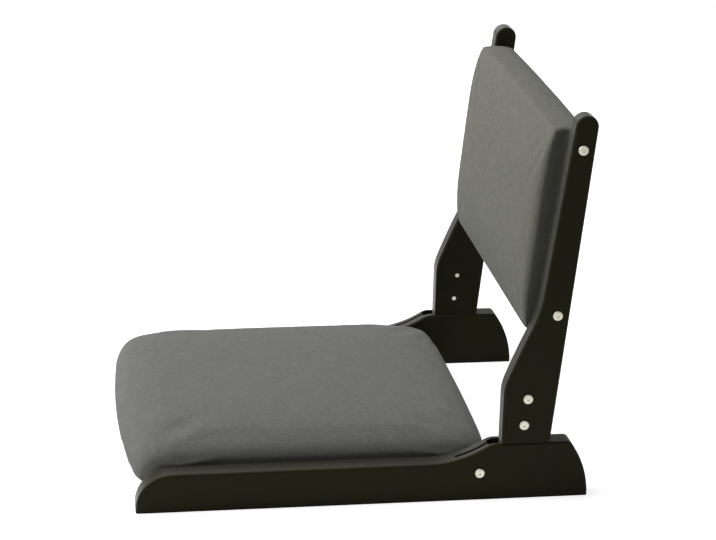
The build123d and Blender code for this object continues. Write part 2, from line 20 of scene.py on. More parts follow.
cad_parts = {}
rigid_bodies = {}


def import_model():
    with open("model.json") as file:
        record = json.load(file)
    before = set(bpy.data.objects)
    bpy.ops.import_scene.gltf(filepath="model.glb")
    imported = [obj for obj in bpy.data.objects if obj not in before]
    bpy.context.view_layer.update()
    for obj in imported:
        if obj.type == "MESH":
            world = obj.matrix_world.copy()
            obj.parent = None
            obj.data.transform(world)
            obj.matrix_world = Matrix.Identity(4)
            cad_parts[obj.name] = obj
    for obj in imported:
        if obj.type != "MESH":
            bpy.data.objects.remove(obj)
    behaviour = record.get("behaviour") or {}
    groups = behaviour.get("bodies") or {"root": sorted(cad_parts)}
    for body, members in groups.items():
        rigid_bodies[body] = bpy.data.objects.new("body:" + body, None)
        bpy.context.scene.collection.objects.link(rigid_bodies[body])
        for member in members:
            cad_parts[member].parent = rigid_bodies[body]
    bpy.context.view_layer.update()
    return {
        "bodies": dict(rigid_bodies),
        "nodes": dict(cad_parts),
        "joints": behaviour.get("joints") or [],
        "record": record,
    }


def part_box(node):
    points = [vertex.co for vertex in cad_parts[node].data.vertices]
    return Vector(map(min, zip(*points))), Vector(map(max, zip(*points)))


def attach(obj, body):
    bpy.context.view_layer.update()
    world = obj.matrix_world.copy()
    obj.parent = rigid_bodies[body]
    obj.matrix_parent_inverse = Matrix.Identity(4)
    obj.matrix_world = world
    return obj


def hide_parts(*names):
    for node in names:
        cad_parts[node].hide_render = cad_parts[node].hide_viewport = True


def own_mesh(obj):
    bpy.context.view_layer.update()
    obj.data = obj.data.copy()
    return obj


LOG = logging.getLogger("floor_chair")

Colour = tuple[float, float, float]
Socket = bpy.types.NodeSocket
Grid = dict[tuple[int, int], int]

MM = 0.001
PHOTO_WIDTH = 716
RAIL_REAR_Y = 252.25 * MM
SEAT_FRONT_Y = -252.25 * MM
WHITE = (1.0, 1.0, 1.0, 1.0)


class Body(str, Enum):
    """The two moving bodies of the chair."""

    BASE = "base"
    BACKREST = "backrest"


class Slot(str, Enum):
    """Material slots of the record."""

    LACQUERED_WOOD = "lacquered_wood"
    PLAIN_WOOD = "plain_wood"
    DOWEL_WOOD = "dowel_wood"
    PLYWOOD = "plywood"
    FOAM = "foam"
    GREY_FABRIC = "grey_fabric"
    BLACK_CLOTH = "black_cloth"
    PLATE_STEEL = "plate_steel"
    NICKEL_BOLTS = "nickel_bolts"
    INSERT_STEEL = "insert_steel"
    WASHER_PLASTIC = "washer_plastic"
    BUSH_BRASS = "bush_brass"
    SCREW_STEEL = "screw_steel"


class Axis3(Enum):
    """Axis that a grain or a thread runs along."""

    X = 0
    Y = 1
    Z = 2


# ---------------------------------------------------------------------------- node trees
class NodeTree:
    """A shader's or a world's node tree, with short calls that add nodes and join them."""

    def __init__(self, tree: bpy.types.NodeTree) -> None:
        """Work on a tree.

        Args:
            tree: the tree that gets the nodes.
        """
        self.tree = tree

    def node(self, kind: str, **settings: object) -> bpy.types.Node:
        """Add a node and set its properties.

        Args:
            kind: the node's type name.
            settings: properties to set on it.

        Returns:
            The new node.
        """
        made = self.tree.nodes.new(kind)
        for key, value in settings.items():
            setattr(made, key, value)
        return made

    def feed(self, socket: Socket, value: object) -> None:
        """Link a socket into an input, or set a plain value on it.

        Args:
            socket: the input.
            value: an output socket or a value.
        """
        if isinstance(value, Socket):
            self.tree.links.new(value, socket)
        else:
            socket.default_value = value

    def maths(self, operation: str, first: object, second: object = 0.0) -> Socket:
        """Work out one sum.

        Args:
            operation: the Math node's operation.
            first: a socket or a number.
            second: a socket or a number.

        Returns:
            The result.
        """
        made = self.node("ShaderNodeMath", operation=operation)
        self.feed(made.inputs[0], first)
        self.feed(made.inputs[1], second)
        return made.outputs[0]

    def total(self, parts: Sequence[Socket]) -> Socket:
        """Return the sum of some values."""
        return reduce(lambda first, second: self.maths("ADD", first, second), parts)

    def span(self, value: Socket, low: float, high: float, to_low: object, to_high: object) -> Socket:
        """Map a range of values onto another, held at its ends.

        Args:
            value: the value.
            low: start of the range read.
            high: end of the range read.
            to_low: result at low, a socket or a number.
            to_high: result at high, a socket or a number.

        Returns:
            The mapped value.
        """
        made = self.node("ShaderNodeMapRange")
        feeds = {"Value": value, "From Min": low, "From Max": high, "To Min": to_low, "To Max": to_high}
        for name, source in feeds.items():
            self.feed(made.inputs[name], source)
        return made.outputs[0]


class Recipe(NodeTree):
    """A material's node tree, with calls for the patterns that the finishes share."""

    def __init__(self, name: str) -> None:
        """Start a material that holds one Principled shader.

        Args:
            name: the material's name.
        """
        self.material = bpy.data.materials.new(name)
        self.material.use_nodes = True
        super().__init__(self.material.node_tree)
        self.shader = self.tree.nodes["Principled BSDF"]

    def shade(self, inputs: dict[str, object]) -> bpy.types.Material:
        """Feed the shader's inputs.

        Args:
            inputs: a socket or a plain value for each input's name.

        Returns:
            The finished material.
        """
        for name, value in inputs.items():
            self.feed(self.shader.inputs[name], value)
        return self.material

    def place(self) -> Socket:
        """Return the point in the object's own frame, in metres."""
        return self.node("ShaderNodeTexCoord").outputs["Object"]

    def stretched(self, point: Socket, axis: Axis3, factor: float) -> Socket:
        """Scale a point along one axis.

        Args:
            point: the point.
            axis: the axis.
            factor: how much to scale by.

        Returns:
            The scaled point.
        """
        made = self.node("ShaderNodeVectorMath", operation="MULTIPLY")
        self.feed(made.inputs[0], point)
        self.feed(made.inputs[1], tuple(factor if each is axis else 1.0 for each in Axis3))
        return made.outputs[0]

    def parted(self, point: Socket) -> Sequence[Socket]:
        """Return the X, Y and Z of a point."""
        made = self.node("ShaderNodeSeparateXYZ")
        self.feed(made.inputs[0], point)
        return made.outputs

    def cloud(self, point: Socket, scale: float, detail: float = 2.0) -> Socket:
        """Return smooth noise from 0 to 1.

        Args:
            point: where it is read.
            scale: features per metre.
            detail: octaves.

        Returns:
            The noise value.
        """
        made = self.node("ShaderNodeTexNoise")
        for name, source in {"Vector": point, "Scale": scale, "Detail": detail}.items():
            self.feed(made.inputs[name], source)
        return made.outputs[0]

    def ramp(self, value: Socket, stops: Sequence[tuple[float, Colour]]) -> Socket:
        """Turn a value into a colour.

        Args:
            value: the value, from 0 to 1.
            stops: places and colours, in order.

        Returns:
            The colour.
        """
        made = self.node("ShaderNodeValToRGB")
        band = made.color_ramp
        while len(band.elements) < len(stops):
            band.elements.new(0.5)
        for element, (spot, colour) in zip(band.elements, stops):
            element.position = spot
            element.color = (*colour, 1.0)
        self.feed(made.inputs[0], value)
        return made.outputs[0]

    def tinted(self, colour: Colour, factor: Socket) -> Socket:
        """Multiply a colour by a number.

        Args:
            colour: the colour.
            factor: the number.

        Returns:
            The product.
        """
        made = self.node("ShaderNodeVectorMath", operation="SCALE")
        self.feed(made.inputs[0], colour)
        self.feed(made.inputs["Scale"], factor)
        return made.outputs[0]

    def relief(self, height: Socket, depth: float, under: Socket | None = None) -> Socket:
        """Turn a height into a bumped normal.

        Args:
            height: height from 0 to 1.
            depth: what a height of 1 measures, in metres.
            under: a normal that this one adds to.

        Returns:
            The normal.
        """
        made = self.node("ShaderNodeBump")
        self.feed(made.inputs["Distance"], depth)
        self.feed(made.inputs["Height"], height)
        if under is not None:
            self.feed(made.inputs["Normal"], under)
        return made.outputs[0]


# ---------------------------------------------------------------------------- finishes
@dataclass(frozen=True)
class Lacquer:
    """Black satin lacquer over close-grained wood, its grain just showing through."""

    name: str
    grain: Axis3
    dark: Colour = (0.0160, 0.0170, 0.0070)
    brown: Colour = (0.0185, 0.0148, 0.0080)
    warmth: Colour = (1.0, 0.97, 0.60)
    satin: float = 0.75
    satin_spread: float = 0.3
    roughness: float = 0.42
    specular: float = 0.12
    grain_pitch: float = 520.0
    grain_stretch: float = 0.045
    grain_depth: float = 0.000012
    patch_pitch: float = 16.0
    peel_pitch: float = 150.0
    peel_depth: float = 0.00003

    def make(self) -> bpy.types.Material:
        """Return the finish as a material."""
        mix = Recipe(self.name)
        place = mix.place()
        fibre = mix.cloud(mix.stretched(place, self.grain, self.grain_stretch), self.grain_pitch, 3.0)
        patch = mix.cloud(place, self.patch_pitch, 1.0)
        peel = mix.cloud(place, self.peel_pitch, 1.0)
        grained = mix.relief(fibre, self.grain_depth)
        return mix.shade({
            "Base Color": mix.ramp(patch, [(0.48, self.dark), (0.62, self.brown)]),
            "Roughness": mix.span(fibre, 0.3, 0.7, self.roughness - 0.01, self.roughness + 0.02),
            "Specular IOR Level": self.specular,
            "Specular Tint": (*self.warmth, 1.0),
            "Sheen Weight": self.satin,
            "Sheen Roughness": self.satin_spread,
            "Normal": mix.relief(peel, self.peel_depth, grained),
        })


@dataclass(frozen=True)
class BareWood:
    """Planed wood with long grain and rings."""

    name: str
    grain: Axis3
    light: Colour = (0.60, 0.42, 0.23)
    dark: Colour = (0.42, 0.26, 0.12)
    ring_pitch: float = 70.0
    fibre_pitch: float = 900.0
    stretch: float = 0.05
    roughness: float = 0.62
    depth: float = 0.00012

    def make(self) -> bpy.types.Material:
        """Return the finish as a material."""
        mix = Recipe(self.name)
        drawn = mix.stretched(mix.place(), self.grain, self.stretch)
        rings = mix.cloud(drawn, self.ring_pitch, 3.0)
        fibre = mix.cloud(drawn, self.fibre_pitch, 2.0)
        both = mix.total([mix.maths("MULTIPLY", rings, 0.7), mix.maths("MULTIPLY", fibre, 0.3)])
        return mix.shade({
            "Base Color": mix.ramp(both, [(0.32, self.dark), (0.66, self.light)]),
            "Roughness": self.roughness,
            "Normal": mix.relief(fibre, self.depth),
        })


@dataclass(frozen=True)
class Plywood:
    """Plywood: rotary-cut face, and veneers of two tones along the edge."""

    name: str
    ply_axis: Axis3
    ply_thickness: float = 0.0015
    light: Colour = (0.62, 0.44, 0.25)
    dark: Colour = (0.40, 0.25, 0.12)
    face_pitch: float = 90.0
    face_stretch: float = 0.12
    roughness: float = 0.68
    depth: float = 0.0002

    def make(self) -> bpy.types.Material:
        """Return the finish as a material."""
        mix = Recipe(self.name)
        place = mix.place()
        face = mix.cloud(mix.stretched(place, Axis3.Y, self.face_stretch), self.face_pitch, 3.0)
        through = mix.parted(place)[self.ply_axis.value]
        layer = mix.maths("SINE", mix.maths("MULTIPLY", through, pi / self.ply_thickness))
        both = mix.total([mix.maths("MULTIPLY", face, 0.75), mix.maths("MULTIPLY", layer, 0.10)])
        return mix.shade({
            "Base Color": mix.ramp(both, [(0.25, self.dark), (0.55, self.light)]),
            "Roughness": self.roughness,
            "Normal": mix.relief(face, self.depth),
        })


@dataclass(frozen=True)
class Metal:
    """Plated or plain metal with fine turning or rolling marks."""

    name: str
    colour: Colour
    stain: Colour
    roughness: float
    marks: Axis3 = Axis3.X
    mark_pitch: float = 1800.0
    mark_stretch: float = 0.1
    mark_depth: float = 0.00002
    stain_pitch: float = 160.0

    def make(self) -> bpy.types.Material:
        """Return the finish as a material."""
        mix = Recipe(self.name)
        place = mix.place()
        lines = mix.cloud(mix.stretched(place, self.marks, self.mark_stretch), self.mark_pitch, 2.0)
        cloudy = mix.cloud(place, self.stain_pitch, 2.0)
        return mix.shade({
            "Base Color": mix.ramp(cloudy, [(0.38, self.colour), (0.75, self.stain)]),
            "Metallic": 1.0,
            "Roughness": mix.span(lines, 0.3, 0.7, self.roughness - 0.04, self.roughness + 0.06),
            "Normal": mix.relief(lines, self.mark_depth),
        })


@dataclass(frozen=True)
class Moulded:
    """Moulded nylon with a faint flow pattern."""

    name: str
    colour: Colour = (0.72, 0.71, 0.66)
    shade: Colour = (0.62, 0.61, 0.56)
    flow_pitch: float = 260.0
    roughness: float = 0.5
    depth: float = 0.00003

    def make(self) -> bpy.types.Material:
        """Return the finish as a material."""
        mix = Recipe(self.name)
        flow = mix.cloud(mix.place(), self.flow_pitch, 2.0)
        return mix.shade({
            "Base Color": mix.ramp(flow, [(0.3, self.shade), (0.7, self.colour)]),
            "Roughness": self.roughness,
            "Normal": mix.relief(flow, self.depth),
        })


@dataclass(frozen=True)
class WovenCloth:
    """Plain-woven upholstery cloth with slubs in both threads.

    The weave is laid on the three planes of the object's frame and blended by the way a face looks, so
    it needs no unwrapping. tilt turns the planes with a piece that leans. The slubs are calmer on the
    sides, side_calm, and along_share is how much of them runs along the cloth.
    """

    name: str
    colour: Colour
    thread: float = 0.0011
    slub_width: float = 1.7
    slub_length: float = 0.011
    along_share: float = 0.45
    side_calm: float = 0.45
    slub_tone: float = 0.15
    mottle_pitch: float = 55.0
    mottle_tone: float = 0.045
    # how much darker the low places between the threads are painted, as painted shade, with a smaller
    # painted highlight on their crowns
    gap_shade_strength: float = 0.16
    weave_depth: float = 0.00022
    slub_depth: float = 0.00030
    roughness: float = 0.92
    specular: float = 0.2
    sheen: float = 0.12
    sheen_spread: float = 0.6
    blend_power: float = 6.0
    tilt: float = 0.0

    def weave(self, mix: Recipe, across: Socket, along: Socket) -> tuple[Socket, Socket]:
        """Lay the weave on one plane.

        Args:
            mix: the material being made.
            across: coordinate across the warp.
            along: coordinate along the warp.

        Returns:
            The height of the threads and the tone of the slubs, each from 0 to 1.
        """
        turn = pi / self.thread
        waves = [mix.maths("SINE", mix.maths("MULTIPLY", way, turn)) for way in (across, along)]
        warp, weft = (mix.maths("ABSOLUTE", wave) for wave in waves)
        share = mix.span(mix.maths("MULTIPLY", *waves), -0.35, 0.35, 0.0, 1.0)
        warp_up = mix.maths("MULTIPLY", warp, share)
        weft_up = mix.maths("MULTIPLY", weft, mix.maths("SUBTRACT", 1.0, share))
        tones = []
        ways = ((across, along, 0.0, self.along_share), (along, across, 7.3, 1.0 - self.along_share))
        for narrow, long, offset, part in ways:
            spot = mix.node("ShaderNodeCombineXYZ")
            mix.feed(spot.inputs[0], mix.maths("MULTIPLY", narrow, 1.0 / (self.slub_width * self.thread)))
            mix.feed(spot.inputs[1], mix.maths("MULTIPLY", long, 1.0 / self.slub_length))
            mix.feed(spot.inputs[2], offset)
            tones.append(mix.maths("MULTIPLY", mix.cloud(spot.outputs[0], 1.0), part))
        return mix.total([warp_up, weft_up]), mix.total(tones)

    def turned(self, mix: Recipe, output: str) -> Socket:
        """Return a texture coordinate, turned with the piece's lean.

        Args:
            mix: the material being made.
            output: the coordinate's name.

        Returns:
            The turned coordinate.
        """
        turn = mix.node("ShaderNodeVectorRotate", rotation_type="X_AXIS")
        mix.feed(turn.inputs["Vector"], mix.node("ShaderNodeTexCoord").outputs[output])
        mix.feed(turn.inputs["Angle"], self.tilt)
        return turn.outputs[0]

    def make(self) -> bpy.types.Material:
        """Return the finish as a material."""
        mix = Recipe(self.name)
        place = self.turned(mix, "Object")
        x, y, z = mix.parted(place)
        weights = [
            mix.maths("POWER", mix.maths("ABSOLUTE", side), self.blend_power)
            for side in mix.parted(self.turned(mix, "Normal"))
        ]
        whole = mix.total(weights)
        side_height, side_slub = self.weave(mix, y, z)
        calm = mix.span(side_slub, 0.0, 1.0, 0.5 - self.side_calm / 2, 0.5 + self.side_calm / 2)
        planes = ((side_height, calm), self.weave(mix, x, z), self.weave(mix, x, y))

        def blend(parts: Sequence[Socket]) -> Socket:
            """Blend what the three planes give for one value."""
            weighted = [mix.maths("MULTIPLY", part, weight) for part, weight in zip(parts, weights)]
            return mix.maths("DIVIDE", mix.total(weighted), whole)

        height, slub = (blend(parts) for parts in zip(*planes))
        mottle = mix.cloud(place, self.mottle_pitch, 3.0)
        # painted shade and highlight: the colour is darker where the weave is low, between the threads, and
        # a little lighter on their crowns; the slubs and the mottle are the cloth's own tone
        painted_gap_shade = mix.span(height, 0.0, 1.0, 1.0 - self.gap_shade_strength, 1.0 + 0.3 * self.gap_shade_strength)
        slub_shade = mix.span(slub, 0.35, 0.65, 1.0 - self.slub_tone, 1.0 + self.slub_tone)
        mottle_shade = mix.span(mottle, 0.3, 0.7, 1.0 - self.mottle_tone, 1.0 + self.mottle_tone)
        shade = mix.maths("MULTIPLY", mix.maths("MULTIPLY", painted_gap_shade, slub_shade), mottle_shade)
        woven = mix.relief(height, self.weave_depth)
        return mix.shade({
            "Base Color": mix.tinted(self.colour, shade),
            "Roughness": self.roughness,
            "Specular IOR Level": self.specular,
            "Sheen Weight": self.sheen,
            "Sheen Roughness": self.sheen_spread,
            "Normal": mix.relief(slub, self.slub_depth, woven),
        })


Finish = Lacquer | BareWood | Plywood | Metal | Moulded | WovenCloth

ZINC = Metal("zinc_screw", (0.56, 0.56, 0.53), (0.44, 0.44, 0.42), 0.38)

# Finishes that turn with the way a piece lies: a word that some of the pieces have in their names, the
# finish of those, and the finish of the others.
LAID_FINISHES = {
    Slot.LACQUERED_WOOD: ("post", Lacquer("lacquer_post", Axis3.Z), Lacquer("lacquer_rail", Axis3.Y)),
    Slot.PLAIN_WOOD: ("stile", BareWood("softwood_upright", Axis3.Z), BareWood("softwood_across", Axis3.X)),
    Slot.PLYWOOD: ("seat", Plywood("ply_seat", Axis3.Z), Plywood("ply_back", Axis3.Y)),
}

# Finishes that are the same for every piece.
COMMON_FINISHES = {
    Slot.DOWEL_WOOD: BareWood("beech_dowel", Axis3.X, (0.58, 0.41, 0.25), (0.44, 0.28, 0.15)),
    Slot.PLATE_STEEL: Metal("zinc_plate", (0.50, 0.50, 0.48), (0.38, 0.38, 0.37), 0.42, Axis3.Z),
    Slot.NICKEL_BOLTS: Metal("nickel", (0.90, 0.89, 0.75), (0.80, 0.78, 0.63), 0.30),
    Slot.INSERT_STEEL: ZINC,
    Slot.WASHER_PLASTIC: Moulded("nylon"),
    Slot.BUSH_BRASS: Metal("brass", (0.66, 0.47, 0.17), (0.55, 0.38, 0.14), 0.34),
    Slot.SCREW_STEEL: ZINC,
}


@dataclass
class FinishBook:
    """Every finish of the chair, made once and shared."""

    recline: float
    made: dict[str, bpy.types.Material] = field(default_factory=dict)

    def get(self, finish: Finish) -> bpy.types.Material:
        """Return a finish's material, made the first time it is asked for."""
        if finish.name not in self.made:
            self.made[finish.name] = finish.make()
        return self.made[finish.name]

    def seat_cloth(self) -> bpy.types.Material:
        """Return the grey cloth as it lies on the seat."""
        return self.get(
            WovenCloth("grey_cloth_seat", (0.166, 0.169, 0.153), slub_length=0.007, along_share=0.72)
        )

    def shaded_back_cloth(self) -> bpy.types.Material:
        """Return the grey cloth as it lies on the leaning back: a darker, warmer copy of the seat's cloth,
        whose colour carries painted shade for how light falls on the back.
        """
        # painted shade: this copy of the grey cloth is darker and warmer than the seat's, though it is the
        # same cloth
        return self.get(WovenCloth("grey_cloth_back_shaded", (0.156, 0.156, 0.130), tilt=-self.recline))

    def lining(self) -> bpy.types.Material:
        """Return the thin black lining cloth."""
        return self.get(
            WovenCloth("black_lining", (0.020, 0.020, 0.021), thread=0.0009, slub_tone=0.05, sheen=0.05)
        )

    def for_node(self, node: str, slot: Slot) -> bpy.types.Material:
        """Choose the finish of a rigid CAD piece.

        Args:
            node: the piece's name.
            slot: its material slot.

        Returns:
            The material.
        """
        if slot in COMMON_FINISHES:
            return self.get(COMMON_FINISHES[slot])
        word, finish, other = LAID_FINISHES[slot]
        return self.get(finish if word in node else other)


# ---------------------------------------------------------------------------- meshes
def mesh_piece(
    name: str, points: Sequence[Vector], faces: Sequence[Sequence[int]], body: Body, slot: Slot
) -> bpy.types.Object:
    """Make a smooth-shaded piece of the chair.

    Args:
        name: the piece's name.
        points: its vertices.
        faces: its faces, as vertex numbers.
        body: the body it rides on.
        slot: the piece's material slot; not used.

    Returns:
        The new object.
    """
    mesh = bpy.data.meshes.new(name)
    mesh.from_pydata([tuple(point) for point in points], [], list(faces))
    mesh.update()
    mesh.polygons.foreach_set("use_smooth", [True] * len(mesh.polygons))
    piece = bpy.data.objects.new(name, mesh)
    bpy.context.scene.collection.objects.link(piece)
    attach(piece, body.value)
    return piece


def unit(index: int, count: int) -> float:
    """Turn a number on a grid of count cells into a place from -1 to 1."""
    return 2 * index / count - 1


def square_rim(count: int) -> list[tuple[int, int]]:
    """Walk once round the edge of a square grid.

    Args:
        count: cells along each side.

    Returns:
        Grid places in order.
    """
    rim = [(i, 0) for i in range(count)]
    rim += [(count, i) for i in range(count)]
    rim += [(i, count) for i in range(count, 0, -1)]
    rim += [(0, i) for i in range(count, 0, -1)]
    return rim


def skin(count: int, under: Grid, over: Grid, rings: Sequence[Sequence[int]] = ()) -> list[tuple[int, ...]]:
    """Join two square grids of points into a closed skin.

    Args:
        count: cells along each side.
        under: vertex numbers of the lower grid.
        over: vertex numbers of the upper grid.
        rings: vertex numbers of the rings between their rims, from the lowest up.

    Returns:
        The faces.
    """
    rim = square_rim(count)
    loops = [[under[place] for place in rim], *rings, [over[place] for place in rim]]
    faces = []
    for lower, upper in zip(loops, loops[1:]):
        for k in range(len(rim)):
            n = (k + 1) % len(rim)
            faces.append((lower[k], lower[n], upper[n], upper[k]))
    for i, j in product(range(count), repeat=2):
        faces.append((over[i, j], over[i + 1, j], over[i + 1, j + 1], over[i, j + 1]))
        faces.append((under[i, j], under[i, j + 1], under[i + 1, j + 1], under[i + 1, j]))
    return faces


@dataclass(frozen=True)
class EdgeRoll:
    """How one edge of a cushion turns from its side wall to its face.

    The wall stands up to belly, turns in over radius through the angle turn, and meets the face there.
    """

    belly: float
    radius: float
    turn: float

    def towards(self, other: "EdgeRoll", share: float) -> "EdgeRoll":
        """Return a roll between this one and another.

        Args:
            other: the roll at a share of 1.
            share: from 0 to 1.

        Returns:
            The roll in between.
        """
        return EdgeRoll(
            self.belly + share * (other.belly - self.belly),
            self.radius + share * (other.radius - self.radius),
            self.turn + share * (other.turn - self.turn),
        )


@dataclass(frozen=True)
class Waist:
    """How the side walls of a cushion are drawn in under their roll, with a tuck by the upper corners.

    The pull grows from the shoulder down to the edge of the wood that stands beside the wall. Behind that
    edge, where it can't be seen, the wall comes out again. Heights are shares of the wall's own height.
    """

    draw: float = 0.0
    shoulder: float = 1.15
    growth: float = 1.5
    edge: float = 0.66
    edge_slope: float = 0.065
    edge_flare: float = 0.92
    flare_from: float = 0.55
    flare_growth: float = 1.6
    release: float = 0.12
    release_lag: float = 1.4
    ends: float = 90.0
    tuck: float = 0.0
    tuck_place: float = 0.975
    tuck_width: float = 0.018
    tuck_up: float = 0.85
    tuck_height: float = 0.25

    def hidden(self, t: float) -> float:
        """Return the place up the wall below which the wood beside it hides it."""
        flare = self.edge_flare * max(0.0, -t - self.flare_from) ** self.flare_growth
        return self.edge - self.edge_slope * t + flare

    def pull(self, t: float, up: float) -> float:
        """Return how far the wall is drawn in.

        Args:
            t: place along the wall, from -1 to 1.
            up: place up the wall, 0 at its foot, 1 where it turns in, and more round the roll.

        Returns:
            The pull, in metres.
        """
        hidden = self.hidden(t)
        grown = max(0.0, self.shoulder - max(up, hidden)) ** self.growth
        kept = min(1.0, max(0.0, self.release_lag + (up - hidden) / self.release))
        aside = (t - self.tuck_place) / self.tuck_width
        above = (up - self.tuck_up) / self.tuck_height
        tuck = self.tuck * exp(-(aside ** 2 + above ** 2))
        return self.draw * grown * kept * (1 - abs(t) ** self.ends) + tuck


@dataclass
class Pillow:
    """A crowned closed cushion over a near-rectangular plan.

    X and Y are the plan and Z the height. The plan is a superellipse whose ends may bow and whose sides
    may be drawn in; corner is its power at the wall and corner_top at the top of the roll. Its rounding
    fades out inwards with the power corner_fade. The sides and the ends have rolls of their own.
    """

    half_x: float
    half_y: float
    corner: float
    corner_top: float
    base: float
    low_roll: float
    side: EdgeRoll
    end: EdgeRoll
    end_fade: float
    rise: float
    crown_x: float
    crown_y: float
    bow_low: float = 0.0
    bow_high: float = 0.0
    top_bulge: float = 0.0
    waist: Waist = Waist()
    corner_fade: float = 6.0
    bulge_power: float = 20.0
    cells: int = 64
    foot_steps: int = 4
    wall_step: float = 3.0 * MM
    roll_steps: int = 9

    def roll_at(self, t: float) -> EdgeRoll:
        """Return the roll that the cushion's edge has at a place along its side."""
        return self.end.towards(self.side, 1 - abs(t) ** self.end_fade)

    def plan(self, s: float, t: float, inset: float, up: float) -> tuple[float, float]:
        """Place a point of the unit square on the plan.

        Args:
            s: from -1 to 1 across.
            t: from -1 to 1 along.
            inset: how far the outline is drawn in here.
            up: place up the wall, from 0 to 1, and on round the roll, to 2.

        Returns:
            X and Y.
        """
        reach = max(abs(s), abs(t))
        if reach > 0:
            power = self.corner + max(up - 1, 0.0) * (self.corner_top - self.corner)
            norm = (abs(s) ** power + abs(t) ** power) ** (1 / power)
            share = 1 + (reach / norm - 1) * reach ** self.corner_fade
            s, t = s * share, t * share
        up_wall = min(up, 1.0)
        at_top = max(t, 0.0) ** self.bulge_power * (1 - abs(s) ** self.bulge_power)
        bulge = 4 * self.top_bulge * up_wall * (1 - up_wall) * at_top
        x = s * (self.half_x - inset - self.waist.pull(t, up))
        y = t * (self.half_y - inset + bulge)
        bow = self.bow_low if t < 0 else -self.bow_high
        return x, y + bow * s * s * t * t

    def foot(self, step: int) -> tuple[float, float]:
        """Return height and inset of one ring of the lower roll."""
        angle = pi / 2 * step / self.foot_steps
        return self.base + self.low_roll * (1 - cos(angle)), self.low_roll * (1 - sin(angle))

    def rings(self) -> Iterator[Callable[[float], tuple[float, float, float]]]:
        """Give each ring between the underside and the top as a rule.

        Returns:
            For each ring, what turns a place t along the side into height, inset and place up the edge.
        """
        for step in range(1, self.foot_steps + 1):
            height, inset = self.foot(step)
            yield lambda t, h=height, i=inset: (h, i, 0.0)
        foot = self.base + self.low_roll
        walls = max(1, int((self.side.belly - foot) / self.wall_step))
        for step in range(1, walls + 1):
            yield lambda t, v=step / walls: (foot + v * (self.roll_at(t).belly - foot), 0.0, v)
        for step in range(1, self.roll_steps):
            yield lambda t, v=step / self.roll_steps: self.shoulder(t, v)

    def shoulder(self, t: float, share: float) -> tuple[float, float, float]:
        """Return height, inset and place up the edge, part of the way round the roll."""
        roll = self.roll_at(t)
        angle = roll.turn * share
        return roll.belly + roll.radius * sin(angle), roll.radius * (1 - cos(angle)), 1.0 + share

    def crown(self, s: float, t: float) -> float:
        """Return how high the crown stands over the shoulder."""
        return self.rise * (1 - abs(s) ** self.crown_x) * (1 - abs(t) ** self.crown_y)

    def mesh(self) -> tuple[list[Vector], list[tuple[int, ...]]]:
        """Return the cushion's vertices and faces."""
        count = self.cells
        points: list[Vector] = []

        def add(i: int, j: int, height: float, inset: float, up: float) -> int:
            """Add one vertex and return its number."""
            x, y = self.plan(unit(i, count), unit(j, count), inset, up)
            points.append(Vector((x, y, height)))
            return len(points) - 1

        base_height, base_inset = self.foot(0)
        under: Grid = {}
        over: Grid = {}
        for i, j in product(range(count + 1), repeat=2):
            under[i, j] = add(i, j, base_height, base_inset, 0.0)
            height, inset, up = self.shoulder(unit(j, count), 1.0)
            over[i, j] = add(i, j, height + self.crown(unit(i, count), unit(j, count)), inset, up)
        rings = [[add(i, j, *ring(unit(j, count))) for i, j in square_rim(count)] for ring in self.rings()]
        return points, skin(count, under, over, rings)


@dataclass(frozen=True)
class Stuffing:
    """Puffs a closed cushion out with a short cloth simulation, by no more than limit."""

    limit: float
    bending: float
    voxel: float = 5.0 * MM
    pressure: float = 4.0
    frames: int = 20
    quality: int = 6
    mass: float = 0.25
    tension: float = 22.0

    def remesh(self, piece: bpy.types.Object) -> None:
        """Give the piece an even mesh."""
        step = piece.modifiers.new("even", "REMESH")
        step.mode = "VOXEL"
        step.voxel_size = self.voxel
        step.use_smooth_shade = True
        self.apply(piece)

    @staticmethod
    def apply(piece: bpy.types.Object) -> None:
        """Bake the piece's modifiers into its mesh."""
        graph = bpy.context.evaluated_depsgraph_get()
        baked = bpy.data.meshes.new_from_object(piece.evaluated_get(graph))
        piece.modifiers.clear()
        piece.data = baked
        baked.polygons.foreach_set("use_smooth", [True] * len(baked.polygons))

    def fill(
        self, piece: bpy.types.Object, held: Callable[[Vector], float], keep: Callable[[Vector], Vector]
    ) -> None:
        """Run the simulation and keep its result.

        Args:
            piece: the cushion.
            held: how firmly a point is held, from 0, free, to 1.
            keep: moves a point back into the room that the cushion has.
        """
        self.remesh(piece)
        start = [v.co.copy() for v in piece.data.vertices]
        grip = piece.vertex_groups.new(name="held")
        for index, point in enumerate(start):
            grip.add([index], held(point), "REPLACE")
        cloth = piece.modifiers.new("cloth", "CLOTH")
        rules = cloth.settings
        rules.quality = self.quality
        rules.mass = self.mass
        rules.tension_stiffness = self.tension
        rules.compression_stiffness = self.tension
        rules.shear_stiffness = self.tension / 2
        rules.bending_stiffness = self.bending
        rules.use_pressure = True
        rules.uniform_pressure_force = self.pressure
        rules.vertex_group_mass = "held"
        rules.effector_weights.gravity = 0.0
        cloth.collision_settings.use_collision = False
        cloth.collision_settings.use_self_collision = False
        scene = bpy.context.scene
        for frame in range(1, self.frames + 1):
            scene.frame_set(frame)
        graph = bpy.context.evaluated_depsgraph_get()
        puffed = piece.evaluated_get(graph).to_mesh()
        moved = []
        for old, vertex in zip(start, puffed.vertices):
            step = vertex.co - old
            if step.length > self.limit:
                step = step.normalized() * self.limit
            moved.append(keep(old + step))
        piece.evaluated_get(graph).to_mesh_clear()
        piece.modifiers.clear()
        piece.vertex_groups.clear()
        for vertex, point in zip(piece.data.vertices, moved):
            vertex.co = point
        scene.frame_set(1)


